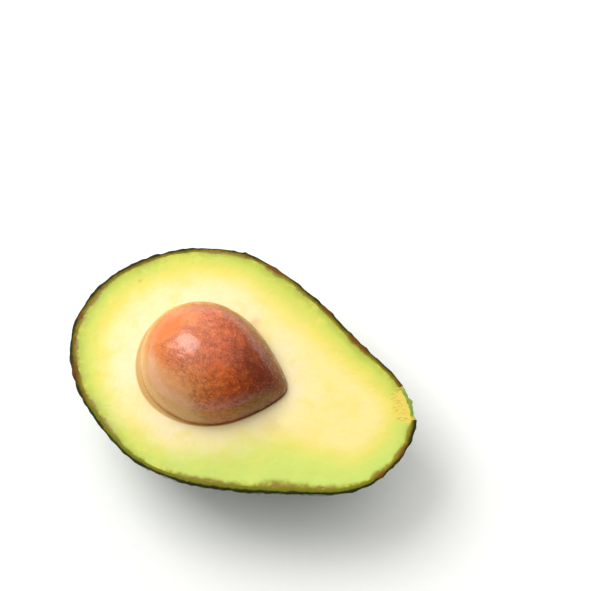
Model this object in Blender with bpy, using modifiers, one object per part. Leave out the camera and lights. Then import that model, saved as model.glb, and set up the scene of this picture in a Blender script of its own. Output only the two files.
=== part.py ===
"""Half an avocado with its seed, lying on its rounded skin with the cut face up.

The fruit is shaped whole, as an egg that bulges to one side at the stem end. A knife box halves it a little
below its widest level, and a table box flattens the skin where it rests. The frame has +Z up and +X towards
the stem end, with its origin on the table under the middle of the fruit's bounding box. Units are metres.
"""

import math

import bmesh
import bpy
from mathutils import Matrix, Vector

# The fruit
CUT_HEIGHT = 0.033
WIDEST_ABOVE_CUT = 0.004
FLAT_SPOT_DEPTH = 0.0005
KEEL_DRIFT = 0.003
SKIN_THICKNESS = 0.0016
PIECE_GAP = 0.0003
# The outline of the cut, as distances from the fruit's middle at equal steps of angle, from the stem end
OUTLINE_RADII = (
    0.0610, 0.0442, 0.0374, 0.0357, 0.0363, 0.0370, 0.0388, 0.0415,
    0.0422, 0.0394, 0.0362, 0.0355, 0.0353, 0.0373, 0.0442, 0.0584,
)  # fmt: skip

# The seed, round at one end and drawn to a blunt tip at the other
SEED_LENGTH = 0.0435
SEED_WIDTH = 0.0348
SEED_THICKNESS = 0.0339
SEED_TOWARDS_STEM = 0.0015
SEED_ABOVE_CUT = 0.0011
SEED_TAPER = (-0.22, -0.17, -0.14)
SEED_TIP_DROOP = 0.0021

# The scar where the stalk broke off, cut in half with the fruit
STEM_SCAR_RADIUS = 0.0054
STEM_SCAR_ANGLE = math.radians(3.2)
STEM_SCAR_TURN = math.radians(30)
STEM_DIMPLE = 0.0006
STEM_PLUG_LENGTH = 0.012

# Mesh fineness
FRUIT_SEGMENTS = 56
FRUIT_RINGS = 22
SEED_SEGMENTS = 32
SEED_RINGS = 20
SCAR_SIDES = 24

# Worked out from the above
WIDEST_HEIGHT = CUT_HEIGHT + WIDEST_ABOVE_CUT
FRUIT_DEPTH = WIDEST_HEIGHT + FLAT_SPOT_DEPTH
CUT_LEVEL = math.asin(WIDEST_ABOVE_CUT / FRUIT_DEPTH)
KNIFE_SIZE = 0.2


def outline_radius(angle):
    """Distance from the fruit's middle to the cut's outline, by a smooth curve through OUTLINE_RADII."""
    count = len(OUTLINE_RADII)
    place = (angle / math.tau % 1.0) * count
    index = int(place)
    share = place - index
    before, start, end, after = (OUTLINE_RADII[(index + step) % count] for step in (-1, 0, 1, 2))
    start_slope = (end - before) / 2
    end_slope = (after - start) / 2
    square, cube = share**2, share**3
    return (
        (2 * cube - 3 * square + 1) * start
        + (cube - 2 * square + share) * start_slope
        + (3 * square - 2 * cube) * end
        + (cube - square) * end_slope
    )


def widest_point(angle):
    """A point of the fruit's widest level, seen from above, with the fruit's middle at zero."""
    radius = outline_radius(angle) / math.cos(CUT_LEVEL)
    return Vector((radius * math.cos(angle), radius * math.sin(angle), 0))


def fruit_middle():
    """Where the fruit's middle lies, so that the cut fruit's bounding box is centred on the origin."""
    steps = 720
    points = [widest_point(math.tau * step / steps) * math.cos(CUT_LEVEL) for step in range(steps)]
    across = [p.x for p in points]
    along = [p.y for p in points]
    return Vector((-(min(across) + max(across)) / 2, -(min(along) + max(along)) / 2, 0))


def fruit_point(direction):
    """The point of the whole fruit's skin that a direction from its middle stands for."""
    angle = math.atan2(direction.y, direction.x)
    spread = math.hypot(direction.x, direction.y)
    point = widest_point(angle) * spread
    point.x += KEEL_DRIFT * (1 - spread)
    point.z = WIDEST_HEIGHT + FRUIT_DEPTH * direction.z
    return point


def seed_point(direction):
    """The point of the seed's skin that a direction from its middle stands for, with the tip along +X."""
    along = direction.x
    girth = 1 + sum(share * along**power for power, share in enumerate(SEED_TAPER, start=1))
    droop = SEED_TIP_DROOP * ((1 + along) / 2) ** 2
    return Vector((
        SEED_LENGTH / 2 * along + SEED_TOWARDS_STEM,
        SEED_WIDTH / 2 * direction.y * girth - droop,
        CUT_HEIGHT + SEED_ABOVE_CUT + SEED_THICKNESS / 2 * direction.z * girth,
    ))


def shaped_sphere(name, segments, rings, shape, poles, grow):
    """A mesh made from a sphere whose points are moved by shape, then outwards by grow."""
    mesh = bpy.data.meshes.new(name)
    bm = bmesh.new()
    bmesh.ops.create_uvsphere(bm, u_segments=segments, v_segments=rings, radius=1, matrix=poles)
    for vert in bm.verts:
        vert.co = shape(vert.co.normalized())
    bm.normal_update()
    outwards = {vert: vert.normal.copy() for vert in bm.verts}
    for vert, normal in outwards.items():
        vert.co += normal * grow
    bm.to_mesh(mesh)
    bm.free()
    mesh.shade_smooth()
    return mesh


def fruit_mesh(name, inset=0.0):
    """The whole fruit, or what is left of it inside a layer inset thick."""
    return shaped_sphere(name, FRUIT_SEGMENTS, FRUIT_RINGS, fruit_point, Matrix.Identity(4), -inset)


def seed_mesh(name, clearance=0.0):
    """The seed, or the room for it with clearance all round. Its sphere's poles lie along X."""
    along_x = Matrix.Rotation(math.radians(90), 4, "Y")
    return shaped_sphere(name, SEED_SEGMENTS, SEED_RINGS, seed_point, along_x, clearance)


def box_mesh(name, low, high):
    """A box between two heights, wider than the fruit."""
    mesh = bpy.data.meshes.new(name)
    bm = bmesh.new()
    size = Matrix.Diagonal((KNIFE_SIZE, KNIFE_SIZE, high - low, 1))
    bmesh.ops.create_cube(bm, size=1, matrix=Matrix.Translation((0, 0, (low + high) / 2)) @ size)
    bm.to_mesh(mesh)
    bm.free()
    return mesh


def stem_mesh(name, radius):
    """A cylinder round the stalk's axis, through the skin at the stem end."""
    mesh = bpy.data.meshes.new(name)
    end = widest_point(STEM_SCAR_ANGLE) * math.cos(CUT_LEVEL)
    place = Matrix.Translation((end.x, end.y, CUT_HEIGHT))
    turn = Matrix.Rotation(STEM_SCAR_TURN, 4, "Z") @ Matrix.Rotation(math.radians(90), 4, "Y")
    bm = bmesh.new()
    bmesh.ops.create_cone(
        bm, cap_ends=True, segments=SCAR_SIDES, radius1=radius, radius2=radius,
        depth=STEM_PLUG_LENGTH, matrix=place @ turn,
    )  # fmt: skip
    bm.to_mesh(mesh)
    bm.free()
    return mesh


def finish(name, colour, roughness):
    """A plain Principled material."""
    material = bpy.data.materials.new(name)
    material.use_nodes = True
    shader = material.node_tree.nodes["Principled BSDF"]
    shader.inputs["Base Color"].default_value = (*colour, 1)
    shader.inputs["Roughness"].default_value = roughness
    shader.inputs["Metallic"].default_value = 0
    return material


def add_object(mesh, collection, parent, material=None):
    """Puts a mesh in the scene under the parent, with the mesh's own name."""
    obj = bpy.data.objects.new(mesh.name, mesh)
    collection.objects.link(obj)
    obj.parent = parent
    if material:
        mesh.materials.append(material)
    return obj


def add_cutter(mesh, collection, parent):
    """A helper shape that cuts others and isn't a piece of the fruit."""
    cutter = add_object(mesh, collection, parent)
    cutter.hide_render = True
    cutter.display_type = "WIRE"
    return cutter


def boolean(obj, operation, other):
    """Cuts, joins or intersects obj with another object."""
    modifier = obj.modifiers.new(f"{operation.lower()}_{other.name}", "BOOLEAN")
    modifier.operation = operation
    modifier.object = other
    modifier.solver = "EXACT"


def new_collection(name):
    collection = bpy.data.collections.new(name)
    bpy.context.scene.collection.children.link(collection)
    return collection


def build():
    for old in list(bpy.data.objects):
        bpy.data.objects.remove(old)
    pieces = new_collection("avocado_half")
    cutters = new_collection("cutters")
    middle = bpy.data.objects.new("fruit_middle", None)
    middle.location = fruit_middle()
    pieces.objects.link(middle)

    knife = add_cutter(box_mesh("knife", CUT_HEIGHT, CUT_HEIGHT + KNIFE_SIZE), cutters, middle)
    table = add_cutter(box_mesh("table", -KNIFE_SIZE, 0), cutters, middle)
    dimpled_fruit = add_cutter(fruit_mesh("dimpled_fruit", STEM_DIMPLE), cutters, middle)
    scar_hole = add_cutter(stem_mesh("scar_hole", STEM_SCAR_RADIUS), cutters, middle)
    plug_mesh = stem_mesh("stem_plug", STEM_SCAR_RADIUS - PIECE_GAP)
    stem_plug = add_cutter(plug_mesh, cutters, middle)
    boolean(stem_plug, "INTERSECT", dimpled_fruit)
    seed_room = add_cutter(seed_mesh("seed_room", PIECE_GAP), cutters, middle)

    green_leathery = finish("green_leathery_skin", (0.045, 0.115, 0.012), 0.38)
    skin = add_object(fruit_mesh("skin"), pieces, middle, green_leathery)
    shell = skin.modifiers.new("thickness", "SOLIDIFY")
    shell.thickness = SKIN_THICKNESS
    shell.offset = -1
    shell.use_even_offset = True
    for cutter in (knife, table, scar_hole):
        boolean(skin, "DIFFERENCE", cutter)

    buttery = finish("buttery_flesh", (0.85, 0.75, 0.27), 0.45)
    flesh_mesh = fruit_mesh("flesh", SKIN_THICKNESS + PIECE_GAP)
    flesh = add_object(flesh_mesh, pieces, middle, buttery)
    boolean(flesh, "UNION", stem_plug)
    for cutter in (knife, seed_room):
        boolean(flesh, "DIFFERENCE", cutter)

    brown = finish("brown_seed_coat", (0.45, 0.16, 0.06), 0.42)
    add_object(seed_mesh("seed"), pieces, middle, brown)


build()
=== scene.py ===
"""Dresses half an avocado: a pebbled green skin, moist cut flesh and a veined seed, on a pale table.

Every size is in metres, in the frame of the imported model: +Z up from the table, +X towards the stem end.
Angles round the fruit are seen from above, about the seed's middle, from the stem end anticlockwise.
"""

import logging
import math
from collections.abc import Mapping, Sequence
from dataclasses import dataclass
from enum import Enum
from typing import Any

import bpy
import numpy as np
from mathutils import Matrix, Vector, noise


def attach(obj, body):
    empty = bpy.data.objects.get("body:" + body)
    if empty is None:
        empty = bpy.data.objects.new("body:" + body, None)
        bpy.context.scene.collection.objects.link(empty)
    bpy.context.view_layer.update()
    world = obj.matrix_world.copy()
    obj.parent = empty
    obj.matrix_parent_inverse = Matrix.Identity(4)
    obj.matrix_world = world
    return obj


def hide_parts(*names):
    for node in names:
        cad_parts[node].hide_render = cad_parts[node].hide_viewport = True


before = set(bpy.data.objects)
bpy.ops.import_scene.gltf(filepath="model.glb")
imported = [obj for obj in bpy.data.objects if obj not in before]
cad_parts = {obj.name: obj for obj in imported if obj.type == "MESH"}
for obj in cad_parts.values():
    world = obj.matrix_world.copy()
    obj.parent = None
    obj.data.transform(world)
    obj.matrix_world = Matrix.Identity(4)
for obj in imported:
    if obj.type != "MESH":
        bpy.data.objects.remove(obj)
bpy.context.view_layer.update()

MM = 0.001
TAU = math.tau
BODY = "root"
LOG = logging.getLogger("avocado_half")
Shade = tuple[int, int, int]
Place = tuple[float, float, float]


def tint(red: int, green: int, blue: int) -> tuple[float, float, float, float]:
    """Turns a display colour into the linear one that shaders take.

    Args:
        red: Display red, 0 to 255.
        green: Display green, 0 to 255.
        blue: Display blue, 0 to 255.

    Returns:
        The linear colour with full alpha.
    """
    shares = (part / 255 for part in (red, green, blue))
    linear = [part / 12.92 if part <= 0.04045 else ((part + 0.055) / 1.055) ** 2.4 for part in shares]
    return (*linear, 1.0)


def round_curve(values: Sequence[float], angles: np.ndarray) -> np.ndarray:
    """A smooth closed curve through values that stand at equal steps of angle.

    Args:
        values: The values, the first at angle zero.
        angles: Where the curve is wanted, in radians.

    Returns:
        The curve's value at each angle.
    """
    table = np.array(values)
    count = len(table)
    place = angles / TAU % 1.0 * count
    index = np.floor(place).astype(int)
    share = place - index
    before, start, end, after = (table[(index + step) % count] for step in (-1, 0, 1, 2))
    start_slope = (end - before) / 2
    end_slope = (after - start) / 2
    square, cube = share**2, share**3
    return (
        (2 * cube - 3 * square + 1) * start
        + (cube - 2 * square + share) * start_slope
        + (3 * square - 2 * cube) * end
        + (cube - square) * end_slope
    )


def ripple(angles: np.ndarray, waves: Sequence[tuple[int, float, float]]) -> np.ndarray:
    """A sum of sine waves round a ring."""
    return sum(height * np.sin(count * angles + start) for count, height, start in waves)


@dataclass(frozen=True)
class FruitForm:
    """The fruit's outer shape, cut a little below its widest level and rested on a flat spot."""

    cut_height: float = 0.033
    widest_above_cut: float = 0.004
    flat_spot_depth: float = 0.0005
    keel_drift: float = 0.003
    scar_radius: float = 0.0054
    scar_angle: float = math.radians(3.2)
    scar_turn: float = math.radians(30)
    segments: int = 560
    outline_radii: tuple[float, ...] = (
        0.0610, 0.0442, 0.0374, 0.0357, 0.0363, 0.0370, 0.0388, 0.0415,
        0.0422, 0.0394, 0.0362, 0.0355, 0.0353, 0.0373, 0.0442, 0.0584,
    )  # fmt: skip

    @property
    def depth(self) -> float:
        """Height from the lowest point, before the table flattens it, to the widest level."""
        return self.cut_height + self.widest_above_cut + self.flat_spot_depth

    @property
    def cut_level(self) -> float:
        """How far the cut lies below the widest level, as an angle in radians."""
        return math.asin(self.widest_above_cut / self.depth)

    def outline(self, angles: np.ndarray) -> np.ndarray:
        """The cut's outline about the seed's middle."""
        radius = round_curve(self.outline_radii, angles)
        return np.stack([radius * np.cos(angles), radius * np.sin(angles)], axis=-1)

    def middle(self) -> np.ndarray:
        """Where the seed's middle lies, so that the fruit's box is centred on the origin."""
        outline = self.outline(np.arange(720) * TAU / 720)
        centre = -(outline.min(axis=0) + outline.max(axis=0)) / 2
        return np.array([*centre, 0.0])

    def even_angles(self) -> np.ndarray:
        """Angles whose points lie equally far apart along the cut's outline."""
        fine = np.linspace(0, TAU, 8 * self.segments + 1)
        steps = np.linalg.norm(np.diff(self.outline(fine), axis=0), axis=1)
        travelled = np.concatenate([[0], np.cumsum(steps)])
        marks = np.arange(self.segments) / self.segments * travelled[-1]
        return np.interp(marks, travelled, fine)

    def level_of(self, below_cut: np.ndarray) -> np.ndarray:
        """The level angle that lies a distance below the cut."""
        return -np.arcsin((self.widest_above_cut + below_cut) / self.depth)

    def surface(self, angles: np.ndarray, levels: np.ndarray) -> np.ndarray:
        """Points of the smooth outer skin.

        Args:
            angles: Angles round the fruit.
            levels: Angles below the widest level, from -pi/2 at the bottom.

        Returns:
            One point for each angle and level.
        """
        spread = np.cos(levels)
        flat = self.outline(angles) / math.cos(self.cut_level)
        middle = self.middle()
        across = flat[..., 0] * spread + self.keel_drift * (1 - spread) + middle[0]
        along = flat[..., 1] * spread + middle[1]
        height = self.cut_height + self.widest_above_cut + self.depth * np.sin(levels)
        return np.stack([across, along, height], axis=-1)

    def normals(self, angles: np.ndarray, levels: np.ndarray) -> np.ndarray:
        """Unit normals of the smooth outer skin, pointing out of the fruit.

        Args:
            angles: Angles round the fruit.
            levels: Angles below the widest level.

        Returns:
            One normal for each angle and level.
        """
        step = 1e-3
        levels = np.maximum(levels, -math.pi / 2 + 20 * step)
        around = self.surface(angles + step, levels) - self.surface(angles - step, levels)
        upwards = self.surface(angles, levels + step) - self.surface(angles, levels - step)
        normal = np.cross(around, upwards)
        return normal / np.linalg.norm(normal, axis=-1, keepdims=True)

    def scar_offset(self, angles: np.ndarray) -> np.ndarray:
        """How far each outline point lies to the side of the stalk's axis, in metres."""
        end = self.outline(np.array([self.scar_angle]))[0]
        sideways = np.array([-math.sin(self.scar_turn), math.cos(self.scar_turn)])
        offset = (self.outline(angles) - end) @ sideways
        facing_stem = np.cos(angles) > 0.8
        return np.where(facing_stem, offset, np.inf)

    def scar_depth(self, angles: np.ndarray, radius: float) -> np.ndarray:
        """How deep below the cut a round stalk scar of that radius reaches at each angle."""
        offset = np.minimum(np.abs(self.scar_offset(angles)), radius)
        return np.sqrt(radius**2 - offset**2)


class Loft:
    """A closed mesh that runs from one pole to the other through rings of points."""

    def __init__(self, name: str) -> None:
        """Starts an empty loft with the mesh's name."""
        self.name = name
        self.rings: list[np.ndarray] = []
        self.marks: list[dict[str, np.ndarray]] = []

    def add(self, ring: np.ndarray, **marks: np.ndarray | float) -> None:
        """Adds the next ring."""
        self.rings.append(ring)
        self.marks.append({name: np.broadcast_to(value, len(ring)) for name, value in marks.items()})

    def build(self) -> bpy.types.Object:
        """Joins the rings into an object, with a pole at the middle of the first and last ring.

        Returns:
            The object, linked to the scene.
        """
        around = len(self.rings[0])
        poles = [self.rings[0].mean(axis=0), self.rings[-1].mean(axis=0)]
        points = np.concatenate([poles[:1], *self.rings, poles[1:]])
        steps = np.arange(around)
        turned = (steps + 1) % around
        quads = [
            np.stack([row + steps, row + turned, row + around + turned, row + around + steps], axis=1)
            for row in 1 + around * np.arange(len(self.rings) - 1)
        ]
        last = len(points) - 1
        top = last - around
        first_fan = np.stack([np.zeros(around, int), 1 + turned, 1 + steps], axis=1)
        last_fan = np.stack([np.full(around, last), top + steps, top + turned], axis=1)
        faces = [*np.concatenate(quads).tolist(), *first_fan.tolist(), *last_fan.tolist()]
        mesh = bpy.data.meshes.new(self.name)
        mesh.from_pydata(points.tolist(), [], faces)
        for mark in self.marks[0]:
            rows = [ring[mark] for ring in self.marks]
            values = np.concatenate([[rows[0].mean()], *rows, [rows[-1].mean()]])
            attribute = mesh.attributes.new(mark, "FLOAT", "POINT")
            attribute.data.foreach_set("value", values.astype(np.float32))
        mesh.shade_smooth()
        piece = bpy.data.objects.new(self.name, mesh)
        bpy.context.scene.collection.objects.link(piece)
        return piece


class CellPattern(Enum):
    """Which distance a cell pattern gives."""

    MIDDLES = "SMOOTH_F1"
    EDGES = "DISTANCE_TO_EDGE"


class Wire:
    """A node's output, on which Python arithmetic adds Math nodes."""

    def __init__(self, board: "NodeBoard", socket: bpy.types.NodeSocket) -> None:
        """Wraps one output socket of a board's tree."""
        self.board = board
        self.socket = socket

    def _maths(self, operation: str, first: Any, second: Any) -> "Wire":
        """Adds a Math node of that operation on two values or wires."""
        return self.board.wire("ShaderNodeMath", {"operation": operation}, {0: first, 1: second})

    def __add__(self, other: Any) -> "Wire":
        """Self plus other."""
        return self._maths("ADD", self, other)

    __radd__ = __add__

    def __sub__(self, other: Any) -> "Wire":
        """Self minus other."""
        return self._maths("SUBTRACT", self, other)

    def __rsub__(self, other: Any) -> "Wire":
        """Other minus self."""
        return self._maths("SUBTRACT", other, self)

    def __mul__(self, other: Any) -> "Wire":
        """Self times other."""
        return self._maths("MULTIPLY", self, other)

    __rmul__ = __mul__

    def __truediv__(self, other: Any) -> "Wire":
        """Self over other."""
        return self._maths("DIVIDE", self, other)

    def __rtruediv__(self, other: Any) -> "Wire":
        """Other over self."""
        return self._maths("DIVIDE", other, self)

    def at_most(self, other: Any) -> "Wire":
        """The smaller of self and other."""
        return self._maths("MINIMUM", self, other)

    def at_least(self, other: Any) -> "Wire":
        """The larger of self and other."""
        return self._maths("MAXIMUM", self, other)


class NodeBoard:
    """A node tree of shader or geometry nodes, and the one method that adds a node to it."""

    def __init__(self, tree: bpy.types.NodeTree) -> None:
        """Wraps a tree and clears it."""
        self.tree = tree
        tree.nodes.clear()

    def node(
        self, kind: str, settings: Mapping[str, Any], sockets: Mapping[int | str, Any]
    ) -> bpy.types.Node:
        """Adds any node.

        Args:
            kind: The node's type name.
            settings: Its settings, set first. "stops" sets a ramp's places and colours.
            sockets: The values or wires of its inputs, by name or place.

        Returns:
            The new node.
        """
        node = self.tree.nodes.new(kind)
        for name, value in settings.items():
            if name == "stops":
                self._set_stops(node, value)
            else:
                setattr(node, name, value)
        for key, value in sockets.items():
            if isinstance(value, Wire):
                self.tree.links.new(value.socket, node.inputs[key])
            else:
                node.inputs[key].default_value = value
        return node

    @staticmethod
    def _set_stops(node: bpy.types.Node, stops: Sequence[tuple[float, tuple[float, ...]]]) -> None:
        """Gives a ramp its stops, in rising order of place."""
        elements = node.color_ramp.elements
        while len(elements) < len(stops):
            elements.new(1.0)
        for element, (place, colour) in zip(elements, stops, strict=True):
            element.position = place
            element.color = colour

    def wire(
        self,
        kind: str,
        settings: Mapping[str, Any] | None = None,
        sockets: Mapping[int | str, Any] | None = None,
        output: int | str = 0,
    ) -> Wire:
        """Adds any node and wraps one of its outputs."""
        node = self.node(kind, settings or {}, sockets or {})
        return Wire(self, node.outputs[output])

    def vector(self, operation: str, first: Any, second: Any, output: int | str = 0) -> Wire:
        """Adds a Vector Math node of that operation."""
        return self.wire("ShaderNodeVectorMath", {"operation": operation}, {0: first, 1: second}, output)

    def scaled(self, vector: Wire, factor: Any) -> Wire:
        """A vector times a number."""
        sockets = {"Vector": vector, "Scale": factor}
        return self.wire("ShaderNodeVectorMath", {"operation": "SCALE"}, sockets)

    def axes(self, vector: Wire) -> list[Wire]:
        """X, Y and Z of a vector."""
        node = self.node("ShaderNodeSeparateXYZ", {}, {0: vector})
        return [Wire(self, output) for output in node.outputs]

    def combined(self, across: Any = 0.0, along: Any = 0.0, up: Any = 0.0) -> Wire:
        """A vector of three numbers."""
        return self.wire("ShaderNodeCombineXYZ", {}, {0: across, 1: along, 2: up})

    def noise(self, place: Wire, size: Any, detail: float = 3.0) -> Wire:
        """Soft noise around 0.5."""
        sockets = {"Vector": place, "Scale": 1.0 / size, "Detail": detail, "Roughness": 0.55}
        return self.wire("ShaderNodeTexNoise", {"noise_dimensions": "3D"}, sockets)

    def warped(self, place: Wire, size: float, reach: float) -> Wire:
        """Coordinates pushed about by soft noise.

        Args:
            place: The coordinates, in metres.
            size: The width of the noise's patches, in metres.
            reach: The furthest push, in metres.

        Returns:
            The warped coordinates.
        """
        sockets = {"Vector": place, "Scale": 1 / size, "Detail": 2.0}
        push = self.wire("ShaderNodeTexNoise", {"noise_dimensions": "3D"}, sockets, "Color")
        centred = self.vector("SUBTRACT", push, (0.5, 0.5, 0.5))
        return self.vector("ADD", place, self.scaled(centred, 2 * reach))

    def cells(self, place: Wire, size: Any, pattern: CellPattern) -> Wire:
        """Distance in a pattern of cells, in cell widths."""
        sockets = {"Vector": place, "Scale": 1.0 / size}
        return self.wire("ShaderNodeTexVoronoi", {"feature": pattern.value}, sockets)

    def ease(self, value: Any, low: float, high: float) -> Wire:
        """A mask that rises smoothly from 0 at low to 1 at high, or falls where low is the larger."""
        sockets = {0: value, 1: low, 2: high, 3: 0.0, 4: 1.0}
        return self.wire("ShaderNodeMapRange", {"interpolation_type": "SMOOTHSTEP"}, sockets)

    def blend(self, mask: Any, first: Any, second: Any) -> Wire:
        """Mixes two colours, the first where the mask is 0 and the second where it is 1."""
        settings = {"data_type": "RGBA", "clamp_factor": True}
        return self.wire("ShaderNodeMix", settings, {0: mask, 6: first, 7: second}, 2)

    def layered(self, colour: Any, *layers: tuple[Any, Shade]) -> Wire:
        """Lays colours over one another.

        Args:
            colour: The lowest colour or wire.
            layers: Masks and their display colours, the lowest first.

        Returns:
            The colour on top.
        """
        for mask, shade in layers:
            colour = self.blend(mask, colour, tint(*shade))
        return colour

    def ramp(self, value: Wire, stops: Sequence[tuple[float, Shade]]) -> Wire:
        """A colour that follows a value through stops of display colours."""
        linear = [(place, tint(*shade)) for place, shade in stops]
        return self.wire("ShaderNodeValToRGB", {"stops": linear}, {0: value})


class ShaderBoard(NodeBoard):
    """A material's nodes, ending in one Principled shader."""

    def __init__(self, name: str) -> None:
        """Makes an empty material of that name."""
        self.material = bpy.data.materials.new(name)
        self.material.use_nodes = True
        super().__init__(self.material.node_tree)

    def place(self) -> Wire:
        """Object coordinates, in metres."""
        return self.wire("ShaderNodeTexCoord", output="Object")

    def mark(self, name: str) -> Wire:
        """A number that the mesh keeps for each point."""
        return self.wire("ShaderNodeAttribute", {"attribute_name": name}, output="Fac")

    def spot(self, place: Wire, centre: Place, radius: float) -> Wire:
        """A soft round mask, 1 at its centre and 0 at its radius."""
        distance = self.vector("DISTANCE", place, centre, "Value")
        return self.ease(distance, radius, 0.0)

    def smudged(self, place: Wire, smudge: "Smudge", height: float) -> Wire:
        """A smudge's mask, at its strength, with its middle at that height."""
        centre = (smudge.across, smudge.along, height)
        return self.spot(place, centre, smudge.radius) * smudge.strength

    def bump(self, height: Wire, depth: float) -> Wire:
        """A normal that follows a height of 0 to 1, for a relief of that depth in metres."""
        return self.wire("ShaderNodeBump", {}, {"Strength": 1.0, "Distance": depth, "Height": height})

    def finish(self, sockets: Mapping[str, Any]) -> bpy.types.Material:
        """Ends the tree in a Principled shader.

        Args:
            sockets: The values or wires of the shader's inputs.

        Returns:
            The material.
        """
        shader = self.wire("ShaderNodeBsdfPrincipled", {}, sockets)
        self.node("ShaderNodeOutputMaterial", {}, {"Surface": shader})
        return self.material


class GeometryBoard(NodeBoard):
    """A geometry node tree with named inputs, applied to a piece as a modifier and made plain."""

    def __init__(self, name: str) -> None:
        """Makes an empty tree of that name with a geometry input and output."""
        super().__init__(bpy.data.node_groups.new(name, "GeometryNodeTree"))
        interface = self.tree.interface
        interface.new_socket("Geometry", in_out="INPUT", socket_type="NodeSocketGeometry")
        interface.new_socket("Geometry", in_out="OUTPUT", socket_type="NodeSocketGeometry")
        self.entry = self.tree.nodes.new("NodeGroupInput")
        self.values: dict[str, Any] = {}

    def geometry(self) -> Wire:
        """The geometry that comes in."""
        return Wire(self, self.entry.outputs["Geometry"])

    def size(self, name: str, value: Any, kind: str = "NodeSocketFloat") -> Wire:
        """Adds a named input.

        Args:
            name: The input's name.
            value: What the modifier sets it to.
            kind: Its socket type.

        Returns:
            The input's wire.
        """
        socket = self.tree.interface.new_socket(name, in_out="INPUT", socket_type=kind)
        self.values[socket.identifier] = value
        return Wire(self, self.entry.outputs[socket.identifier])

    def kept(self, name: str) -> Wire:
        """A number that the mesh keeps for each point."""
        return self.wire("GeometryNodeInputNamedAttribute", {"data_type": "FLOAT"}, {"Name": name})

    def keep(self, geometry: Wire, name: str, value: Wire) -> Wire:
        """Keeps a number for each point of the geometry."""
        settings = {"data_type": "FLOAT", "domain": "POINT"}
        sockets = {"Geometry": geometry, "Name": name, "Value": value}
        return self.wire("GeometryNodeStoreNamedAttribute", settings, sockets)

    def position(self) -> Wire:
        """Each point's place."""
        return self.wire("GeometryNodeInputPosition")

    def normal(self) -> Wire:
        """Each point's normal."""
        return self.wire("GeometryNodeInputNormal")

    def end(
        self,
        geometry: Wire,
        material: bpy.types.Material,
        second: bpy.types.Material | None = None,
        where: Wire | None = None,
    ) -> None:
        """Ends the tree in Realize Instances and Set Material.

        Args:
            geometry: What the tree has made.
            material: Its material.
            second: A second material for some of its faces.
            where: Which faces take the second material.
        """
        plain = self.wire("GeometryNodeRealizeInstances", {}, {"Geometry": geometry})
        dressed = self.wire("GeometryNodeSetMaterial", {}, {"Geometry": plain, "Material": material})
        if second:
            sockets = {"Geometry": dressed, "Selection": where, "Material": second}
            dressed = self.wire("GeometryNodeSetMaterial", {}, sockets)
        self.node("NodeGroupOutput", {}, {"Geometry": dressed})

    def moved(self, geometry: Wire, **how: Wire) -> Wire:
        """The geometry with its points moved by an Offset, or to a Position."""
        return self.wire("GeometryNodeSetPosition", {}, {"Geometry": geometry} | how)

    def above(self, value: Wire, limit: float) -> Wire:
        """True where a value is over a limit."""
        settings = {"data_type": "FLOAT", "operation": "GREATER_THAN"}
        return self.wire("FunctionNodeCompare", settings, {0: value, 1: limit})

    def random(self, least: Any, most: Any, seed: Any) -> Wire:
        """A random number for each point, between two limits."""
        sockets = {2: least, 3: most, "Seed": seed}
        return self.wire("FunctionNodeRandomValue", {"data_type": "FLOAT"}, sockets, 1)

    def scattered(self, where: Wire, gap: Any, density: float, seed: Any) -> tuple[Wire, Wire]:
        """Scatters points over the faces that come in.

        Args:
            where: Which faces take points.
            gap: The least distance between two points.
            density: The most points for each square metre.
            seed: The scatter's fixed seed.

        Returns:
            The points and their turns away from the surface.
        """
        sockets = {"Mesh": self.geometry(), "Selection": where, "Distance Min": gap}
        sockets |= {"Density Max": density, "Seed": seed}
        method = {"distribute_method": "POISSON"}
        scatter = self.node("GeometryNodeDistributePointsOnFaces", method, sockets)
        return Wire(self, scatter.outputs["Points"]), Wire(self, scatter.outputs["Rotation"])

    def balls(self, points: Wire, turn: Wire, size: Wire, shape: tuple[float, ...] = (1.0,) * 3) -> Wire:
        """Sets a smooth ball on every point.

        Args:
            points: The points.
            turn: Each ball's turn.
            size: Each ball's radius, or its three radii.
            shape: How far the ball is stretched before it is turned.

        Returns:
            The balls.
        """
        ball = self.wire("GeometryNodeMeshIcoSphere", {}, {"Radius": 1.0, "Subdivisions": 2})
        ball = self.wire("GeometryNodeTransform", {}, {"Geometry": ball, "Scale": shape})
        ball = self.wire("GeometryNodeSetShadeSmooth", {}, {0: ball})
        sockets = {"Points": points, "Instance": ball, "Rotation": turn, "Scale": size}
        return self.wire("GeometryNodeInstanceOnPoints", {}, sockets)

    def apply(self, piece: bpy.types.Object, name: str | None = None) -> bpy.types.Object:
        """Runs the tree on a piece and makes the result a plain mesh.

        Args:
            piece: The piece whose mesh goes in. Its mesh is replaced, unless a name is given.
            name: The name of a new piece for the result.

        Returns:
            The piece that holds the result.
        """
        modifier = piece.modifiers.new(self.tree.name, "NODES")
        modifier.node_group = self.tree
        for identifier, value in self.values.items():
            modifier[identifier] = value
        piece.update_tag()
        view = bpy.context.evaluated_depsgraph_get()
        mesh = bpy.data.meshes.new_from_object(piece.evaluated_get(view), depsgraph=view)
        piece.modifiers.remove(modifier)
        mesh.name = name or piece.name
        if name is None:
            piece.data = mesh
            return piece
        made = bpy.data.objects.new(name, mesh)
        bpy.context.scene.collection.objects.link(made)
        return made


@dataclass(frozen=True)
class Smudge:
    """A small stained place."""

    across: float
    along: float
    radius: float
    strength: float


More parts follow.
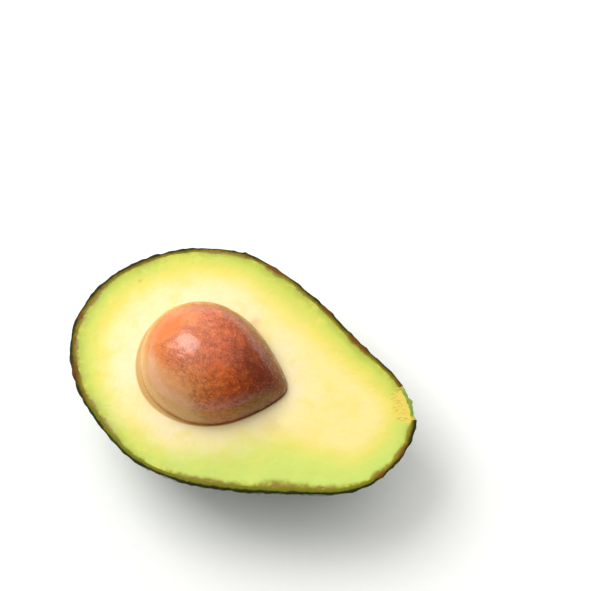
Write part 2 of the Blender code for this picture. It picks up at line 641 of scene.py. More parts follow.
@dataclass(frozen=True)
class SkinFinish:
    """Glossy green skin with raised pebbles."""

    deep: Shade = (26, 54, 3)
    leaf: Shade = (50, 98, 12)
    lit_top: Shade = (92, 136, 34)

    def material(self) -> bpy.types.Material:
        """Builds the material.

        Returns:
            The skin's material.
        """
        board = ShaderBoard("glossy_pebbled_skin")
        place = board.place()
        pebble = board.mark("pebble")
        broad = board.noise(place, 18 * MM, 2.0)
        fine = board.noise(place, 1.4 * MM, 4.0)
        green = board.layered(
            tint(*self.deep),
            (board.ease(broad, 0.35, 0.68) * 0.7, self.leaf),
            (board.ease(pebble, 0.35, 1.0) * 0.4, self.lit_top),
            (board.ease(fine, 0.55, 0.8) * 0.3, self.deep),
        )
        grain = board.noise(place, 0.45 * MM, 3.0)
        return board.finish(
            {
                "Base Color": green,
                "Roughness": 0.22 + board.ease(fine, 0.3, 0.8) * 0.14,
                "Specular IOR Level": 0.5,
                "Normal": board.bump(grain, 0.05 * MM),
            }
        )


@dataclass(frozen=True)
class CutEdgeFinish:
    """The skin's cut edge: dark green outside, then olive, gold and brown towards the flesh."""

    dark: Shade = (40, 42, 3)
    olive: Shade = (98, 88, 4)
    gold: Shade = (150, 128, 10)
    brown: Shade = (110, 62, 4)
    lime: Shade = (112, 120, 14)
    smudges: tuple[Smudge, ...] = (
        Smudge(-46.6 * MM, -11.3 * MM, 5.0 * MM, 0.7),
        Smudge(44.0 * MM, 4.6 * MM, 6.0 * MM, 0.9),
        Smudge(-35.0 * MM, 22.0 * MM, 6.0 * MM, 0.5),
    )

    def material(self, cut_height: float) -> bpy.types.Material:
        """Builds the material.

        Args:
            cut_height: The height of the cut face.

        Returns:
            The cut edge's material.
        """
        board = ShaderBoard("cut_skin_edge")
        place = board.place()
        edge = board.mark("edge")
        fine = board.noise(place, 1.2 * MM, 4.0)
        patch = board.noise(place, 7 * MM, 3.0)
        jagged = edge + (fine - 0.5) * 0.6 + (patch - 0.5) * 0.5
        stops = ((0.0, self.dark), (0.24, self.dark), (0.55, self.olive), (1.0, self.gold))
        colour = board.ramp(jagged, stops)
        along = board.axes(place)[1]
        near_side = board.ease(along / MM + (patch - 0.5) * 30.0, -14.0, -26.0)
        colour = board.layered(
            colour,
            (board.ease(patch, 0.54, 0.68) * 0.8, self.brown),
            (near_side * board.ease(jagged, 0.2, 0.5) * 0.7, self.lime),
            *((board.smudged(place, smudge, cut_height), self.brown) for smudge in self.smudges),
        )
        return board.finish(
            {
                "Base Color": colour,
                "Roughness": 0.5 + fine * 0.2,
                "Specular IOR Level": 0.12,
                "Normal": board.bump(fine, 0.15 * MM),
            }
        )


@dataclass(frozen=True)
class PoreFinish:
    """The tiny corky or pale dots that the skin breathes through."""

    name: str
    colour: Shade
    ring: Shade

    def material(self) -> bpy.types.Material:
        """Builds the material.

        Returns:
            The dots' material.
        """
        board = ShaderBoard(self.name)
        place = board.place()
        speckle = board.noise(place, 0.5 * MM, 2.0)
        colour = board.layered(tint(*self.colour), (board.ease(speckle, 0.4, 0.7), self.ring))
        return board.finish({"Base Color": colour, "Roughness": 0.4 + speckle * 0.2})


@dataclass(frozen=True)
class FleshFinish:
    """Moist buttery flesh that turns lime green towards the skin."""

    cream: Shade = (240, 224, 176)
    butter: Shade = (238, 219, 138)
    yellow: Shade = (228, 212, 96)
    lime: Shade = (196, 204, 76)
    fresh: Shade = (200, 218, 106)
    green: Shade = (166, 178, 48)
    seam: Shade = (136, 112, 18)
    scar: Shade = (116, 146, 44)
    # Amber of the hollow round the seed: partly the seed coat's stain, partly painted shade.
    amber_and_painted_light: Shade = (204, 156, 78)
    bruise: Shade = (204, 140, 62)
    fibre: Shade = (228, 200, 78)
    band_reach: float = 20 * MM
    grain_turn: float = math.radians(30)
    smudges: tuple[Smudge, ...] = (
        Smudge(-0.5 * MM, 15.3 * MM, 3.2 * MM, 0.30),
        Smudge(11.5 * MM, -13.8 * MM, 4.5 * MM, 0.14),
        Smudge(-36.9 * MM, 19.8 * MM, 0.9 * MM, 0.55),
        Smudge(10.7 * MM, 25.2 * MM, 3.0 * MM, 0.12),
    )

    def material(self, cut_height: float) -> bpy.types.Material:
        """Builds the material.

        Args:
            cut_height: The height of the cut face.

        Returns:
            The flesh's material.
        """
        board = ShaderBoard("buttery_flesh")
        place = board.place()
        to_rim = board.mark("to_rim") / MM
        green_width = board.mark("green")
        to_seed = board.mark("to_seed") / MM
        lip = board.mark("lip")
        stem = board.mark("stem")
        broad = board.noise(place, 22 * MM, 2.0)
        patch = board.noise(place, 6 * MM, 3.0)
        fine = board.noise(place, 0.9 * MM, 4.0)
        depth = to_rim / green_width * (0.74 + broad * 0.52) + (patch - 0.5) * 3.2 + (fine - 0.5) * 0.5
        shades = (self.seam, self.green, self.lime, self.yellow, self.butter, self.butter)
        stops = list(zip((0.0, 0.03, 0.14, 0.36, 0.60, 1.0), shades, strict=True))
        banded = board.ramp(depth * MM / self.band_reach, stops)
        across, along = board.axes(place)[:2]
        pale = board.ease(to_seed + (patch - 0.5) * 8.0, 13.0, 0.0) * board.ease(broad, 0.2, 0.55)
        near_side = board.ease((along - across * 0.35) / MM + (broad - 0.5) * 20.0, -14.0, -34.0)
        fresh = near_side * board.ease(depth, 13.0, 1.0) * board.ease(depth, 0.2, 1.2)
        streak_place = board.vector("MULTIPLY", board.warped(place, 8 * MM, 2 * MM), (0.22, 1.0, 1.0))
        streak = board.ease(board.noise(streak_place, 1.3 * MM, 2.0), 0.6, 0.78)
        warped = board.warped(place, 3 * MM, 0.8 * MM)
        with_grain = across * math.cos(self.grain_turn) + along * math.sin(self.grain_turn)
        over_grain = along * math.cos(self.grain_turn) - across * math.sin(self.grain_turn)
        grain_place = board.combined(with_grain * 0.25, over_grain)
        grain = board.noise(grain_place, 0.9 * MM, 3.0) - 0.5
        ragged = board.ease(stem + grain * 1.6 + (patch - 0.5), 0.35, 0.85)
        scar = board.ease(stem, 0.5, 0.9) * board.ease(to_rim + (fine - 0.5) * 0.8, 0.35, 0.0)
        colour = board.layered(
            banded,
            (pale, self.cream),
            (board.ease(patch, 0.53, 0.68) * 0.32, self.yellow),
            (fresh * 0.75, self.fresh),
            (streak * 0.4, self.yellow),
            *((board.smudged(warped, smudge, cut_height), self.bruise) for smudge in self.smudges),
            (ragged * 0.9, self.fibre),
            (scar, self.scar),
            # Amber over the hollow's wall: partly stain, partly painted shade in the recess.
            (board.ease(lip, 0.0, 0.35) * 0.9, self.amber_and_painted_light),
        )
        rough = 0.38 + board.ease(patch, 0.35, 0.7) * 0.16
        height = fine * 0.6 + patch * 0.4
        return board.finish(
            {
                "Base Color": colour,
                "Roughness": rough,
                "Subsurface Weight": 0.12,
                "Subsurface Radius": (1.0, 0.7, 0.25),
                "Subsurface Scale": 2.5 * MM,
                "Specular IOR Level": 0.35,
                "Normal": board.bump(height, 0.10 * MM),
            }
        )


@dataclass(frozen=True)
class FibreFinish:
    """The golden fibres where the stalk grew in."""

    gold: Shade = (208, 158, 40)
    straw: Shade = (240, 224, 124)

    def material(self) -> bpy.types.Material:
        """Builds the material.

        Returns:
            The fibres' material.
        """
        board = ShaderBoard("golden_fibres")
        tone = board.noise(board.place(), 1.1 * MM, 2.0)
        colour = board.layered(tint(*self.gold), (board.ease(tone, 0.4, 0.6), self.straw))
        return board.finish({"Base Color": colour, "Roughness": 0.45 + tone * 0.1})


@dataclass(frozen=True)
class SeedFinish:
    """A satin seed coat: orange to red brown, netted with dark veins, with a pale patch. Its darkening
    towards the tip is partly painted shade, and its tan underside and amber foot are partly painted light
    reflected from the flesh.
    """

    orange: Shade = (220, 120, 40)
    russet: Shade = (214, 92, 26)
    # The tip's own dark red brown, also laid on towards the tip as painted shade.
    dark: Shade = (112, 34, 8)
    vein: Shade = (92, 22, 4)
    bright: Shade = (226, 104, 14)
    fleck: Shade = (236, 156, 92)
    # Tan of the seed coat, partly painted light reflected from the flesh onto the underside.
    tan_and_painted_light: Shade = (226, 150, 84)
    pale: Shade = (220, 158, 104)
    # Amber at the seed's foot: partly the coat's film, partly painted light reflected from the flesh.
    amber_and_painted_light: Shade = (204, 140, 60)
    glow: Smudge = Smudge(-13.5 * MM, 4.5 * MM, 6.5 * MM, 0.9)
    ember: Smudge = Smudge(4.5 * MM, -5.0 * MM, 4.4 * MM, 0.7)
    # A dark smudge at the tip: partly the seed's own colour, partly painted shade.
    dark_tip_and_painted_shade: Smudge = Smudge(17.0 * MM, -2.0 * MM, 8.0 * MM, 0.9)
    patch_height: float = 14 * MM

    def material(self, middle: Place) -> bpy.types.Material:
        """Builds the material.

        Args:
            middle: The seed's middle.

        Returns:
            The seed's material.
        """
        board = ShaderBoard("veined_seed_coat")
        place = board.vector("SUBTRACT", board.place(), middle)
        vein = board.mark("vein")
        across, along, height = (axis / MM for axis in board.axes(place))
        broad = board.noise(place, 12 * MM, 3.0) - 0.5
        patch = board.noise(place, 3.5 * MM, 4.0)
        fine = board.noise(place, 0.55 * MM, 3.0)
        net = board.cells(board.warped(place, 1.0 * MM, 0.5 * MM), 0.5 * MM, CellPattern.EDGES)
        net = board.ease(net, 0.2, 0.03) * board.ease(board.noise(place, 1.6 * MM, 3.0), 0.38, 0.6)
        russet = board.ease(across + broad * 22.0, -14.0, 0.0)
        # Darker towards the tip: partly the seed's red brown, partly painted shade.
        tipward_red_and_painted_shade = board.ease(across + along * 0.3 + broad * 18.0, 2.0, 17.0)
        # Tan on the near underside: partly the coat's colour, partly painted light reflected from the flesh.
        tan_and_painted_light = board.ease(along + broad * 9.0, -5.0, -14.0) * board.ease(across + broad * 10.0, 12.0, -2.0)
        pale = board.ease(along + across * 0.75 + broad * 12.0, -12.0, -19.0)
        netted = (1.0 - pale * 0.9) * (board.ease(across + broad * 26.0, -17.0, -6.0) * 0.8 + 0.2)
        light = board.ease(fine, 0.52, 0.7) * netted
        patches = ((self.glow, self.bright), (self.ember, self.bright), (self.dark_tip_and_painted_shade, self.dark))
        loose = board.warped(place, 5 * MM, 3 * MM)
        # Amber band where the seed meets the flesh: partly coat film, partly painted light reflected from
        # the flesh.
        foot_film_and_bounce = board.ease(height + (patch - 0.5) * 2.0, 1.4, 0.0) * board.ease(across, 6.0, -6.0)
        colour = board.layered(
            tint(*self.orange),
            (russet, self.russet),
            (board.ease(patch, 0.52, 0.66) * 0.45, self.orange),
            (tipward_red_and_painted_shade * 0.85, self.dark),
            (tan_and_painted_light * 0.8, self.tan_and_painted_light),
            (pale * 0.9, self.pale),
            (light * 0.45, self.fleck),
            (net * netted * 0.55, self.vein),
            (vein * netted * 0.55, self.vein),
            # The dark smudge at the tip is partly painted shade.
            *((board.smudged(loose, smudge, self.patch_height), shade) for smudge, shade in patches),
            (foot_film_and_bounce * 0.6, self.amber_and_painted_light),
        )
        return board.finish(
            {
                "Base Color": colour,
                "Roughness": 0.30 + vein * 0.15 + board.ease(fine, 0.3, 0.8) * 0.1,
                "Specular IOR Level": 0.35,
                "Coat Weight": 0.9,
                "Coat Roughness": 0.2,
                "Coat IOR": 1.5,
                "Normal": board.bump(fine, 0.10 * MM),
            }
        )


@dataclass(frozen=True)
class DotKind:
    """One kind of dot: its piece, finish, least gap and range of radii in millimetres, and fixed seed."""

    name: str
    finish: PoreFinish
    gap: float
    radii: tuple[float, float]
    seed: int


@dataclass
class Skin:
    """The leathery skin: a pebbled shell with a cut rim, and the dots on it."""

    form: FruitForm
    finish: SkinFinish
    edge_finish: CutEdgeFinish
    wall_rings: int = 112
    inner_rings: int = 14
    rim_round: float = 0.0004
    pebble_size: float = 0.0027
    pebble_height: float = 0.00042
    lump_height: float = 0.00035
    dot_flatness: float = 0.34
    dot_sparseness: float = 2.2
    rim_roughness: float = 0.0002
    rim_widths: tuple[float, ...] = (
        0.0014, 0.0014, 0.0014, 0.0014, 0.0013, 0.0013, 0.0014, 0.0016,
        0.0018, 0.0019, 0.0016, 0.0014, 0.0015, 0.0017, 0.0017, 0.0014,
    )  # fmt: skip

    # Over the cut rim: share of the thickness, rise in rim roundings, "edge" mark
    rim_profile: tuple[tuple[float, float, float], ...] = (
        (0.03, -0.45, 0.0), (0.09, -0.15, 0.03), (0.18, 0.0, 0.1), (0.32, 0.08, 0.25), (0.48, 0.12, 0.45),
        (0.64, 0.14, 0.62), (0.80, 0.14, 0.8), (0.92, 0.12, 0.92), (1.0, 0.02, 1.0), (1.04, -1.2, 1.0),
    )  # fmt: skip
    dots: tuple[DotKind, ...] = (
        DotKind("skin_pores", PoreFinish("pale_pore", (150, 172, 82), (96, 124, 44)), 2.3, (0.16, 0.42), 11),
        DotKind("skin_specks", PoreFinish("corky_speck", (74, 50, 30), (44, 32, 20)), 15.0, (0.3, 0.55), 4),
    )

    def thickness(self, angles: np.ndarray) -> np.ndarray:
        """How thick the skin is where it is cut.

        Args:
            angles: Angles round the fruit.

        Returns:
            The thickness at each angle.
        """
        places = self.form.outline(angles)
        rough = [
            noise.noise(Vector((x, y, 0)) / (3.2 * MM)) + 0.6 * noise.noise(Vector((x, y, 1)) / (1.1 * MM))
            for x, y in places
        ]
        return round_curve(self.rim_widths, angles) + self.rim_roughness * np.array(rough)

    def shell(self) -> bpy.types.Object:
        """The smooth shell: up its outside, over its cut rim and down its inside.

        Returns:
            The shell, with "edge" and "relief" kept for each point.
        """
        form = self.form
        angles = form.even_angles()
        notch = form.scar_depth(angles, form.scar_radius)
        thick = self.thickness(angles)
        top = form.level_of(notch + self.rim_round)
        bottom = -math.pi / 2
        loft = Loft("skin")
        for share in np.linspace(0, 1, self.wall_rings + 1)[1:]:
            levels = bottom + (top - bottom) * share
            ring = form.surface(angles, levels)
            loft.add(ring, edge=0.0, relief=1.0)
        wall = form.surface(angles, top)
        inward = -form.normals(angles, top)
        inward[:, 2] = 0
        inward /= np.linalg.norm(inward, axis=1, keepdims=True)
        rim_height = form.cut_height - notch
        for inset, rise, edge in self.rim_profile:
            ring = wall + inward * (inset * thick)[:, None]
            ring[:, 2] = rim_height + rise * self.rim_round
            loft.add(ring, edge=edge, relief=max(0.0, 1.0 - 2.2 * inset))
        for share in np.linspace(1, 0, self.inner_rings + 1)[:-1]:
            levels = bottom + (form.level_of(notch + 3 * self.rim_round) - bottom) * share
            outside = form.surface(angles, levels)
            ring = outside - form.normals(angles, levels) * (thick * 1.04)[:, None]
            loft.add(ring, edge=1.0, relief=0.0)
        return loft.build()

    def pebble(self, piece: bpy.types.Object, material: bpy.types.Material) -> None:
        """Raises the skin's pebbles, and keeps its underside flat on the table.

        Args:
            piece: The smooth shell.
            material: The skin's material.
        """
        board = GeometryBoard("pebbled_skin")
        size = board.size("Pebble Size", self.pebble_size)
        height = board.size("Pebble Height", self.pebble_height)
        lump = board.size("Lump Height", self.lump_height)
        place = board.warped(board.position(), 3 * MM, 0.9 * MM)
        cell = board.cells(place, size, CellPattern.MIDDLES)
        dome = board.ease(cell, 0.75, 0.1)
        broken = board.noise(board.position(), 1.6 * MM, 2.0)
        pebble = dome * (0.55 + broken * 0.9)
        wide = board.noise(board.position(), 9 * MM, 2.0) - 0.5
        relief = board.kept("relief")
        push = ((pebble - 0.45) * height + wide * 2.0 * lump) * relief
        marked = board.keep(board.geometry(), "pebble", pebble * relief)
        offset = board.scaled(board.normal(), push)
        moved = board.moved(marked, Offset=offset)
        across, along, up = board.axes(board.position())
        on_table = board.combined(across, along, up.at_least(0.0))
        rested = board.moved(moved, Position=on_table)
        edge = self.edge_finish.material(self.form.cut_height)
        near_cut = board.ease(up, self.form.cut_height - 1.2 * MM, self.form.cut_height - 0.6 * MM)
        board.end(rested, material, edge, board.above(board.kept("edge").at_least(near_cut), 0.5))
        board.apply(piece)

    def scatter(self, skin: bpy.types.Object, kind: DotKind) -> bpy.types.Object:
        """Scatters small domed dots over the outside of the skin.

        Args:
            skin: The finished skin.
            kind: The kind of dot.

        Returns:
            The dots, as one piece.
        """
        board = GeometryBoard(kind.name)
        gap = board.size("Spacing", kind.gap * MM)
        least = board.size("Smallest Radius", kind.radii[0] * MM)
        most = board.size("Largest Radius", kind.radii[1] * MM)
        start = board.size("Seed", kind.seed, "NodeSocketInt")
        height = board.axes(board.position())[2]
        outside = board.kept("relief").at_most(board.ease(height, 0.6 * MM, 1.2 * MM))
        outside = outside * board.ease(board.kept("edge"), 0.01, 0.0)
        density = 1 / (self.dot_sparseness * (kind.gap * MM) ** 2)
        points, turn = board.scattered(board.above(outside, 0.9), gap, density, start)
        radius = board.random(least, most, start)
        placed = board.balls(points, turn, radius, (1.0, 1.0, self.dot_flatness))
        board.end(placed, kind.finish.material())
        return board.apply(skin, kind.name)

    def build(self) -> list[bpy.types.Object]:
        """Builds and dresses the skin and its dots.

        Returns:
            The pieces.
        """
        skin = self.shell()
        self.pebble(skin, self.finish.material())
        pieces = [skin, *(self.scatter(skin, kind) for kind in self.dots)]
        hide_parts("skin")
        for piece in pieces:
            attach(piece, BODY)
        return pieces


@dataclass(frozen=True)
class SeedForm:
    """The seed's shape: round at one end, drawn to a blunt tip at the other, along X."""

    length: float = 0.0435
    width: float = 0.0348
    thickness: float = 0.0339
    towards_stem: float = 0.0015
    above_cut: float = 0.0011
    taper: tuple[float, ...] = (-0.22, -0.17, -0.14)
    tip_droop: float = 0.0021

    def surface(self, directions: np.ndarray, middle: np.ndarray, grow: float = 0.0) -> np.ndarray:
        """Points of the seed's skin.

        Args:
            directions: Unit directions from its middle.
            middle: Where the middle lies.
            grow: How far outside the skin the points lie.

        Returns:
            One point for each direction.
        """
        along = directions[..., 0]
        girth = 1 + sum(share * along**power for power, share in enumerate(self.taper, start=1))
        droop = self.tip_droop * ((1 + along) / 2) ** 2
        points = np.stack(
            [
                (self.length / 2 + grow) * along + self.towards_stem,
                (self.width / 2 * girth + grow) * directions[..., 1] - droop,
                (self.thickness / 2 * girth + grow) * directions[..., 2] + self.above_cut,
            ],
            axis=-1,
        )
        return points + middle


@dataclass
class Seed:
    """The seed, netted with fine sunken veins."""

    form: SeedForm
    middle: np.ndarray
    finish: SeedFinish
    rings: int = 170
    segments: int = 330
    vein_size: float = 0.0008
    vein_depth: float = 0.00009
    lump_height: float = 0.0003

    def smooth(self) -> bpy.types.Object:
        """The seed before its veins, as a loft from its round end to its tip.

        Returns:
            The smooth seed.
        """
        turns = np.arange(self.segments) * TAU / self.segments
        loft = Loft("seed")
        for step in range(1, self.rings):
            polar = math.pi * step / self.rings
            across = np.full(self.segments, -math.cos(polar))
            ring = math.sin(polar) * np.stack([np.cos(turns), np.sin(turns)], axis=-1)
            directions = np.column_stack([across, ring])
            loft.add(self.form.surface(directions, self.middle), vein=0.0)
        return loft.build()

    def vein(self, piece: bpy.types.Object, material: bpy.types.Material) -> None:
        """Sinks a net of veins into the seed.

        Args:
            piece: The smooth seed.
            material: The seed's material.
        """
        board = GeometryBoard("seed_veins")
        size = board.size("Vein Spacing", self.vein_size)
        depth = board.size("Vein Depth", self.vein_depth)
        lump = board.size("Lump Height", self.lump_height)
        base = board.position()
        place = board.warped(base, 1.3 * MM, 0.7 * MM)
        edge = board.cells(place, size, CellPattern.EDGES)
        second = board.cells(board.warped(base, 2.4 * MM, 1.2 * MM), size * 2.6, CellPattern.EDGES)
        across = board.axes(base)[0]
        here = board.ease(across / MM + (board.noise(base, 9 * MM, 3.0) - 0.5) * 30.0, -24.0, -12.0)
        broken = board.ease(board.noise(base, 2.2 * MM, 3.0), 0.36, 0.62)
        net = board.ease(edge, 0.13, 0.02) * broken
        coarse = board.ease(second, 0.05, 0.01) * 0.4
        vein = net.at_least(coarse) * here
        wide = board.noise(base, 8 * MM, 2.0) - 0.5
        push = wide * 2.0 * lump - vein * depth
        marked = board.keep(board.geometry(), "vein", vein)
        offset = board.scaled(board.normal(), push)
        moved = board.moved(marked, Offset=offset)
        board.end(moved, material)
        board.apply(piece)

    def build(self) -> list[bpy.types.Object]:
        """Builds and dresses the seed.

        Returns:
            The seed, alone in a list.
        """
        seed = self.smooth()
        self.vein(seed, self.finish.material(tuple(self.middle)))
        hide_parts("seed")
        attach(seed, BODY)
        return [seed]


@dataclass
class Flesh:
    """The flesh: the cut face, the hollow round the seed, and the fibrous core at the stem end."""

    form: FruitForm
    seed_form: SeedForm
    skin: Skin
    seed_middle: np.ndarray
    finish: FleshFinish
    overlap: float = 0.0002
    clearance: float = 0.00005
    scar_dimple: float = 0.0005
    face_rings: int = 84
    wave_height: float = 0.00022
    wave_length: float = 0.009
    upper_wall: float = 0.006
    low_wall_rings: int = 24
    upper_wall_rings: int = 17
    lip_rings: int = 8
    hollow_rings: int = 22
    fibre_gap: float = 0.0008
    fibre_length: float = 0.00125
    fibre_thickness: float = 0.00011
    fibre_density: float = 3.0e6
    fibre_fan: float = 0.35
    green_widths: tuple[float, ...] = (
        0.75, 0.8, 1.0, 1.15, 1.0, 0.95, 1.0, 1.1, 1.15, 1.1, 1.0, 1.05, 1.3, 1.8, 1.9, 1.1,
    )  # fmt: skip
    collar_widths: tuple[float, ...] = (
        0.0005, 0.0005, 0.0005, 0.0006, 0.0007, 0.0008, 0.0010, 0.0015,
        0.0019, 0.0020, 0.0019, 0.0014, 0.0008, 0.0006, 0.0005, 0.0005,
    )  # fmt: skip
    collar_rises: tuple[float, ...] = (
        -0.0005, -0.0003, 0.0001, 0.0003, 0.0003, 0.0003, 0.0004, 0.0006,
        0.0008, 0.0008, 0.0006, 0.0001, -0.0004, -0.0006, -0.0006, -0.0006,
    )  # fmt: skip

    def wall_inset(self, angles: np.ndarray, below_cut: np.ndarray) -> np.ndarray:
        """How far the flesh lies inside the skin's surface.

        Args:
            angles: Angles round the fruit.
            below_cut: Distance below the cut, for each angle.

        Returns:
            The inset, small where the stem's core fills the gap in the skin.
        """
        inset = self.skin.thickness(angles) - self.overlap
        ragged = ripple(angles, ((83, 0.00022, 0.3), (151, 0.00018, 2.2), (223, 0.00014, 4.0)))
        return inset + (self.scar_dimple + ragged - inset) * self.core(angles, below_cut)

    def wall(self, angles: np.ndarray, levels: np.ndarray, below_cut: np.ndarray) -> np.ndarray:
        """One ring of the wall, inside the skin."""
        inset = self.wall_inset(angles, below_cut)
        return self.form.surface(angles, levels) - self.form.normals(angles, levels) * inset[:, None]

    def core(self, angles: np.ndarray, below_cut: np.ndarray) -> np.ndarray:
        """Where the stem's core reaches out through the skin.

        Args:
            angles: Angles round the fruit.
            below_cut: Distance below the cut, for each angle.

        Returns:
            1 in the core and 0 outside it.
        """
        core_radius = self.form.scar_radius + 0.5 * self.overlap
        reach = core_radius - np.hypot(self.form.scar_offset(angles), below_cut)
        return np.clip(reach / (0.5 * MM) + 0.5, 0, 1)

    def lip(self, angles: np.ndarray, grow: np.ndarray, below_cut: np.ndarray) -> np.ndarray:
        """A ring round the seed, outside its skin and below the cut.

        Args:
            angles: Angles round the fruit.
            grow: How far outside the seed's skin each point lies.
            below_cut: How far below the cut.

        Returns:
            The ring's points.
        """
        form = self.seed_form
        rise = np.zeros_like(angles)
        for _ in range(6):
            flat = np.sqrt(1 - rise**2)
            directions = np.stack([flat * np.cos(angles), flat * np.sin(angles), rise], axis=-1)
            points = form.surface(directions, self.seed_middle)
            target = self.form.cut_height - below_cut
            rise = np.clip(rise + (target - points[:, 2]) / (form.thickness / 2), -0.98, 0.98)
        outward = points - points.mean(axis=0)
        outward[:, 2] = 0
        outward /= np.linalg.norm(outward, axis=1, keepdims=True)
        ring = points + outward * grow[:, None]
        ring[:, 2] = target
        return ring

    def solid(self) -> bpy.types.Object:
        """The flesh as one loft, from its underside up its wall, over the cut face and into the hollow.

        Returns:
            The solid, with the distances to the rim and seed kept for each point.
        """
        form = self.form
        angles = form.even_angles()
        far = 30 * MM
        base = {"to_rim": far, "to_seed": far, "green": 1.0, "face": 0.0, "lip": 0.0, "stem": 0.0}
        greens = round_curve(self.green_widths, angles)
        loft = Loft("flesh")
        bottom = -math.pi / 2
        low = form.level_of(np.full_like(angles, self.upper_wall))
        for share in np.linspace(0, 1, self.low_wall_rings + 1)[1:]:
            ring = self.wall(angles, bottom + (low - bottom) * share, np.full_like(angles, far))
            loft.add(ring, **(base | {"to_rim": 0.0}))
        for below in np.linspace(self.upper_wall, 0.25 * MM, self.upper_wall_rings + 1)[1:]:
            depth = np.full_like(angles, below)
            ring = self.wall(angles, form.level_of(depth), depth)
            ring[:, 2] = form.cut_height - below
            loft.add(ring, **(base | {"to_rim": 0.0, "stem": self.core(angles, depth)}))
        zero = np.zeros_like(angles)
        levels = form.level_of(zero)
        inset = self.wall_inset(angles, zero)
        outline = form.surface(angles, levels)
        widths = round_curve(self.collar_widths, angles)
        rises = round_curve(self.collar_rises, angles)
        lip = self.lip(angles, widths, zero)
        inwards = (lip - outline) / np.linalg.norm(lip - outline, axis=1, keepdims=True)
        squareness = -(inwards * form.normals(angles, levels)).sum(axis=1)
        rim = outline + inwards * (inset / squareness)[:, None]
        for step in range(self.face_rings + 1):
            share = (1 - math.cos(math.pi * step / self.face_rings)) / 2
            share = 0.35 * step / self.face_rings + 0.65 * share
            ring = rim + (lip - rim) * share
            loft.add(
                ring,
                to_rim=self.rim_distance(ring, outline, angles),
                to_seed=self.nearest(ring, lip),
                green=greens,
                face=min(1.0, 6 * share) * min(1.0, 6 * (1 - share)),
                lip=0.0,
                stem=self.stem_mask(ring),
            )
        for share in np.linspace(0, 1, self.lip_rings + 1)[1:]:
            climb = share * share * (3 - 2 * share)
            grow = widths * (1 - share) - self.clearance * share
            ring = self.lip(angles, grow, -rises * climb)
            loft.add(ring, **(base | {"to_seed": 0.0, "lip": share}))
        for polar in np.linspace(math.radians(102), math.radians(178), self.hollow_rings):
            flat, rise = math.sin(polar), math.cos(polar)
            directions = np.stack([flat * np.cos(angles), flat * np.sin(angles), zero + rise], axis=-1)
            ring = self.seed_form.surface(directions, self.seed_middle, -self.clearance)
            loft.add(ring, **(base | {"to_seed": 0.0, "lip": 1.0}))
        return loft.build()

    @staticmethod
    def nearest(points: np.ndarray, line: np.ndarray) -> np.ndarray:
        """Distance from each point to the nearest point of a line."""
        apart = points[:, None, :2] - line[None, :, :2]
        return np.sqrt((apart**2).sum(axis=-1).min(axis=1))

    def rim_distance(self, ring: np.ndarray, outline: np.ndarray, angles: np.ndarray) -> np.ndarray:
        """Distance from each point to the inner edge of the skin's cut.

        Args:
            ring: The points.
            outline: The skin's outer edge.
            angles: The outline's angles.

        Returns:
            The distances, never below zero.
        """
        apart = ring[:, None, :2] - outline[None, :, :2]
        distances = np.sqrt((apart**2).sum(axis=-1)) - self.skin.thickness(angles)[None, :]
        return np.maximum(distances.min(axis=1), 0)

    def stem_mask(self, ring: np.ndarray) -> np.ndarray:
        """How much each point belongs to the stem's fibrous core.

        Args:
            ring: The points.

        Returns:
            1 in the core, falling to 0 round it.
        """
        form = self.form
        end = form.surface(np.array([form.scar_angle]), form.level_of(np.zeros(1)))[0]
        axis = np.array([math.cos(form.scar_turn), math.sin(form.scar_turn)])
        offset = ring[:, :2] - end[:2]
        inwards = -(offset @ axis)
        sideways = np.abs(offset @ np.array([-axis[1], axis[0]]))
        width = np.clip(1.7 - 1.2 * sideways / form.scar_radius, 0, 1)
        length = np.clip(1.5 - inwards / (6 * MM), 0, 1)
        return width * length

    def soften(self, piece: bpy.types.Object, material: bpy.types.Material) -> None:
        """Lets the cut face wave a little, as a hand-drawn knife leaves it.

        Args:
            piece: The solid.
            material: The flesh's material.
        """
        board = GeometryBoard("knife_waves")
        height = board.size("Wave Height", self.wave_height)
        length = board.size("Wave Length", self.wave_length)
        base = board.position()
        stretched = board.vector("MULTIPLY", base, (0.45, 1.0, 1.0))
        waves = board.noise(stretched, length, 2.0) - 0.5
        fine = board.noise(base, 1.8 * MM, 2.0) - 0.5
        push = (waves * 2.0 + fine * 0.5) * height * board.kept("face")
        offset = board.combined(up=push)
        moved = board.moved(board.geometry(), Offset=offset)
        board.end(moved, material)
        board.apply(piece)

    def fibres(self, piece: bpy.types.Object) -> bpy.types.Object:
        """Scatters short raised fibres over the stem's core, along the stalk's axis.

        Args:
            piece: The finished flesh.

        Returns:
            The fibres, as one piece.
        """
        board = GeometryBoard("stem_fibres")
        gap = board.size("Spacing", self.fibre_gap)
        longest = board.size("Longest", self.fibre_length)
        thick = board.size("Thickness", self.fibre_thickness)
        facing_up = board.axes(board.normal())[2]
        inside = board.ease(board.kept("to_rim"), 0.5 * MM, 1.3 * MM)
        core = board.kept("stem") * board.ease(facing_up, 0.8, 0.95) * inside
        points, _ = board.scattered(board.above(core, 0.55), gap, self.fibre_density, 5)
        length = longest * board.random(0.4, 1.0, 6)
        angle = board.random(-self.fibre_fan, self.fibre_fan, 7)
        turn = board.combined(up=angle + self.form.scar_turn)
        shape = board.combined(length, thick, thick * 0.7)
        board.end(board.balls(points, turn, shape), FibreFinish().material())
        return board.apply(piece, "stem_fibres")

    def build(self) -> list[bpy.types.Object]:
        """Builds and dresses the flesh.

        Returns:
            The pieces.
        """
        flesh = self.solid()
        self.soften(flesh, self.finish.material(self.form.cut_height))
        fibres = self.fibres(flesh)
        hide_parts("flesh")
        for piece in (flesh, fibres):
            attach(piece, BODY)
        return [flesh, fibres]


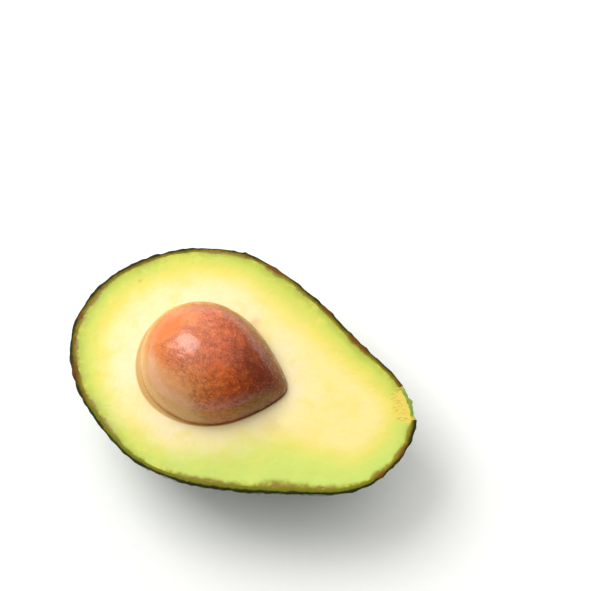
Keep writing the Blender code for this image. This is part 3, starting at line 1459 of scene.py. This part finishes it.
@dataclass(frozen=True)
class Softbox:
    """A square soft light: its name, place, side and power in watts."""

    name: str
    place: Place
    side: float
    power: float

    def build(self) -> None:
        """Adds the light, facing the fruit."""
        data = bpy.data.lights.new(self.name, "AREA")
        data.size = self.side
        data.energy = self.power
        light = bpy.data.objects.new(self.name, data)
        light.location = self.place
        aim = Vector((0, 0, 0.02)) - Vector(self.place)
        light.rotation_euler = aim.to_track_quat("-Z", "Y").to_euler()
        bpy.context.scene.collection.objects.link(light)


@dataclass
class Studio:
    """The table, the soft lights and the camera."""

    turn: float = math.radians(14)
    rise: float = math.radians(70)
    lens: float = 85.0
    camera_place: Place = (0.04318, -0.11067, 0.42066)
    bright_side: Place = (-0.35, 0.42, 0.84)
    dim_strength: float = 0.05
    bright_strength: float = 1.21
    table_size: float = 4.0
    dull: tuple[float, ...] = (0.96, 0.96, 0.93, 1.0)
    clean: tuple[float, ...] = (0.97, 0.97, 0.94, 1.0)
    softboxes: tuple[Softbox, ...] = (
        Softbox("key", (-0.37, 0.17, 0.66), 0.42, 3.2),
        Softbox("back", (-0.30, 1.0, 0.42), 0.8, 1.2),
    )

    def table(self) -> bpy.types.Object:
        """The flat pale table.

        Returns:
            The table.
        """
        board = ShaderBoard("pale_table")
        grain = board.noise(board.place(), 4 * MM, 2.0)
        colour = board.blend(board.ease(grain, 0.3, 0.7), self.dull, self.clean)
        material = board.finish({"Base Color": colour, "Roughness": 0.6, "Specular IOR Level": 0.2})
        half = self.table_size / 2
        mesh = bpy.data.meshes.new("table")
        corners = [(-half, -half, 0), (half, -half, 0), (half, half, 0), (-half, half, 0)]
        mesh.from_pydata(corners, [], [(0, 1, 2, 3)])
        mesh.materials.append(material)
        table = bpy.data.objects.new("table", mesh)
        bpy.context.scene.collection.objects.link(table)
        return table

    def world(self) -> None:
        """Fills the room with white light, strongest from high behind the fruit's round end."""
        world = bpy.data.worlds.new("white_room")
        world.use_nodes = True
        board = NodeBoard(world.node_tree)
        direction = board.wire("ShaderNodeTexCoord", output="Generated")
        facing = board.vector("DOT_PRODUCT", direction, self.bright_side, "Value")
        strength = self.dim_strength + board.ease(facing, 0.0, 1.0) * self.bright_strength
        light = board.wire("ShaderNodeBackground", {}, {"Color": (1, 1, 1, 1), "Strength": strength})
        board.node("ShaderNodeOutputWorld", {}, {"Surface": light})
        bpy.context.scene.world = world

    def camera(self) -> None:
        """Stands the camera over the near side of the fruit."""
        data = bpy.data.cameras.new("camera")
        data.lens = self.lens
        data.clip_start = 0.01
        camera = bpy.data.objects.new("camera", data)
        camera.location = self.camera_place
        camera.rotation_euler = (math.pi / 2 - self.rise, 0, self.turn)
        bpy.context.scene.collection.objects.link(camera)
        bpy.context.scene.camera = camera

    def build(self) -> None:
        """Builds the stage."""
        self.table()
        self.world()
        for softbox in self.softboxes:
            softbox.build()
        self.camera()
        bpy.context.scene.view_settings.view_transform = "Standard"


def main() -> None:
    """Builds every part of the fruit, then the stage."""
    logging.basicConfig(level=logging.INFO, format="%(name)s: %(message)s")
    form = FruitForm()
    middle = form.middle() + np.array([0, 0, form.cut_height])
    seed_form = SeedForm()
    skin = Skin(form, SkinFinish(), CutEdgeFinish())
    flesh = Flesh(form, seed_form, skin, middle, FleshFinish())
    seed = Seed(seed_form, middle, SeedFinish())
    for assembly in (skin, flesh, seed):
        for piece in assembly.build():
            faces = len(piece.data.polygons)
            LOG.info("%s: %s with %d faces", type(assembly).__name__, piece.name, faces)
    Studio().build()


if __name__ == "__main__":
    main()
